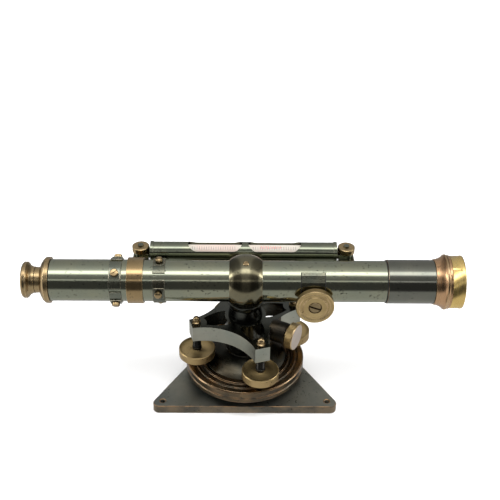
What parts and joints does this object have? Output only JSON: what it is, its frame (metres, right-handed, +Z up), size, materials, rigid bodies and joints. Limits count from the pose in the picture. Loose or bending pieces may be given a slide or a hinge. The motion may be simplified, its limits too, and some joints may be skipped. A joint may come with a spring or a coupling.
{
  "type": "dumpy level",
  "caption": "Antique surveyor's dumpy level: brass telescope with a side spirit level, turning on a column above a screw-levelled head, a round lower plate and a triangular base plate.",
  "frame": {"origin": "underside of the base plate, on the instrument's vertical turning axis", "axes": "+Z up along the turning axis; +X along the line of sight towards the objective; the focusing knob is on the -Y side and the spirit level on the +Y side"},
  "size_m": [0.3456, 0.1386, 0.1215],
  "materials": {
    "bronzed_gunmetal": "glossy bronzed gunmetal, greenish grey",
    "dark_bronze": "dark bronzed, worn to copper on its ridges",
    "blackened_plate": "blackened, worn brown along its edges",
    "aged_brass": "aged brown brass, satin",
    "polished_brass": "polished",
    "coppery_brass": "coppery, semi-gloss",
    "blued_steel": "blued",
    "blackened_inside": "matt black",
    "optical_glass": "clear, polished",
    "vial_glass": "cream-coloured vial"
  },
  "bodies": {
    "base": {"base_plate": "blackened_plate", "base_boss": "dark_bronze", "lower_plate": "dark_bronze", "socket_dome": "dark_bronze"},
    "washer": {"seat_washer": "aged_brass"},
    "head": {"leveling_head": "bronzed_gunmetal", "ball_stem": "dark_bronze", "screw_cap_1": "aged_brass", "screw_cap_2": "aged_brass", "screw_cap_3": "aged_brass", "screw_cap_4": "aged_brass"},
    "shoe_1": {"foot_shoe_1": "dark_bronze"},
    "screw_1": {"foot_screw_1": "aged_brass"},
    "shoe_2": {"foot_shoe_2": "dark_bronze"},
    "screw_2": {"foot_screw_2": "aged_brass"},
    "shoe_3": {"foot_shoe_3": "dark_bronze"},
    "screw_3": {"foot_screw_3": "aged_brass"},
    "shoe_4": {"foot_shoe_4": "dark_bronze"},
    "screw_4": {"foot_screw_4": "aged_brass"},
    "clamp_shoe": {"clamp_pad": "aged_brass"},
    "clamp": {"clamp_screw": "blued_steel", "clamp_knob": "aged_brass"},
    "telescope": {"column": "bronzed_gunmetal", "telescope_ball": "bronzed_gunmetal", "main_tube": "bronzed_gunmetal", "eye_flange": "aged_brass", "collar_ring": "aged_brass", "front_sleeve": "bronzed_gunmetal", "objective_cell": "coppery_brass", "objective_doublet": "optical_glass", "objective_ring": "polished_brass", "focus_saddle": "bronzed_gunmetal", "diaphragm_ring": "blackened_inside", "reticle_glass": "optical_glass", "stop_ring": "blackened_inside", "diaphragm_screw_1": "aged_brass", "diaphragm_screw_2": "aged_brass", "diaphragm_screw_3": "aged_brass", "diaphragm_screw_4": "aged_brass", "stop_screw_1": "aged_brass", "stop_screw_2": "aged_brass", "stop_screw_3": "aged_brass", "stop_screw_4": "aged_brass", "level_tube": "bronzed_gunmetal", "level_vial": "vial_glass", "level_bracket_eye": "bronzed_gunmetal", "level_bracket_front": "bronzed_gunmetal"},
    "nut_eye": {"level_nut_eye": "aged_brass"},
    "nut_front": {"level_nut_front": "aged_brass"},
    "eyepiece": {"eyepiece_tube": "aged_brass", "eyecup": "aged_brass", "eye_lens": "optical_glass", "field_lens": "optical_glass"},
    "carriage": {"focus_cell": "blackened_inside", "focus_lens": "optical_glass", "focus_rack": "aged_brass"},
    "focus_drive": {"focus_pinion": "blued_steel", "focus_knob": "aged_brass", "focus_knob_screw": "aged_brass"}
  },
  "joints": [
    {"name": "tilt_a", "type": "hinge", "parent": "base", "child": "washer", "pos_m": [0, 0, 0.027], "axis": [0.9563, 0.2924, 0], "range_deg": [-2.5, 2.5]},
    {"name": "tilt_b", "type": "hinge", "parent": "washer", "child": "head", "pos_m": [0, 0, 0.027], "axis": [-0.2924, 0.9563, 0], "range_deg": [-2.5, 2.5]},
    {"name": "foot_slide_1", "type": "slide", "parent": "head", "child": "shoe_1", "axis": [0, 0, -1], "range_m": [-0.0023, 0.0023]},
    {"name": "foot_turn_1", "type": "hinge", "parent": "shoe_1", "child": "screw_1", "pos_m": [0.03911, 0.01196, 0.035], "axis": [0, 0, 1], "range_deg": [-830, 830]},
    {"name": "foot_slide_2", "type": "slide", "parent": "head", "child": "shoe_2", "axis": [0, 0, -1], "range_m": [-0.0023, 0.0023]},
    {"name": "foot_turn_2", "type": "hinge", "parent": "shoe_2", "child": "screw_2", "pos_m": [-0.01196, 0.03911, 0.035], "axis": [0, 0, 1], "range_deg": [-830, 830]},
    {"name": "foot_slide_3", "type": "slide", "parent": "head", "child": "shoe_3", "axis": [0, 0, -1], "range_m": [-0.0023, 0.0023]},
    {"name": "foot_turn_3", "type": "hinge", "parent": "shoe_3", "child": "screw_3", "pos_m": [-0.03911, -0.01196, 0.035], "axis": [0, 0, 1], "range_deg": [-830, 830]},
    {"name": "foot_slide_4", "type": "slide", "parent": "head", "child": "shoe_4", "axis": [0, 0, -1], "range_m": [-0.0023, 0.0023]},
    {"name": "foot_turn_4", "type": "hinge", "parent": "shoe_4", "child": "screw_4", "pos_m": [0.01196, -0.03911, 0.035], "axis": [0, 0, 1], "range_deg": [-830, 830]},
    {"name": "azimuth", "type": "hinge", "parent": "head", "child": "telescope", "pos_m": [0, 0, 0.0995], "axis": [0, 0, 1], "continuous": true},
    {"name": "clamp_slide", "type": "slide", "parent": "head", "child": "clamp_shoe", "axis": [0.8829, -0.4695, 0], "range_m": [-0.0002, 0.0013]},
    {"name": "clamp_turn", "type": "hinge", "parent": "clamp_shoe", "child": "clamp", "pos_m": [0, 0, 0.06], "axis": [0.8829, -0.4695, 0], "range_deg": [0, 450]},
    {"name": "focus_turn", "type": "hinge", "parent": "telescope", "child": "focus_drive", "pos_m": [0.0535, 0, 0.0934], "axis": [0, -1, 0], "range_deg": [-490, 65]},
    {"name": "focus_slide", "type": "slide", "parent": "telescope", "child": "carriage", "axis": [1, 0, 0], "range_m": [-0.031, 0.005]},
    {"name": "eyepiece_slide", "type": "slide", "parent": "telescope", "child": "eyepiece", "axis": [-1, 0, 0], "range_m": [-0.005, 0.008]},
    {"name": "level_nut_eye_turn", "type": "hinge", "parent": "telescope", "child": "nut_eye", "pos_m": [-0.0847, 0.0281, 0.1115], "axis": [0, 0, 1], "range_deg": [-180, 180]},
    {"name": "level_nut_front_turn", "type": "hinge", "parent": "telescope", "child": "nut_front", "pos_m": [0.0814, 0.0281, 0.1115], "axis": [0, 0, 1], "range_deg": [-180, 180]}
  ],
  "couplings": [
    {"joint": "foot_slide_1", "follows": "tilt_b", "m_per_rad": -0.0409},
    {"joint": "foot_turn_1", "follows": "tilt_b", "ratio": 256.98},
    {"joint": "foot_slide_2", "follows": "tilt_a", "m_per_rad": 0.0409},
    {"joint": "foot_turn_2", "follows": "tilt_a", "ratio": -256.98},
    {"joint": "foot_slide_3", "follows": "tilt_b", "m_per_rad": 0.0409},
    {"joint": "foot_turn_3", "follows": "tilt_b", "ratio": -256.98},
    {"joint": "foot_slide_4", "follows": "tilt_a", "m_per_rad": -0.0409},
    {"joint": "foot_turn_4", "follows": "tilt_a", "ratio": 256.98},
    {"joint": "clamp_slide", "follows": "clamp_turn", "m_per_rad": 0.00012732},
    {"joint": "focus_slide", "follows": "focus_turn", "m_per_rad": 0.0035}
  ]
}
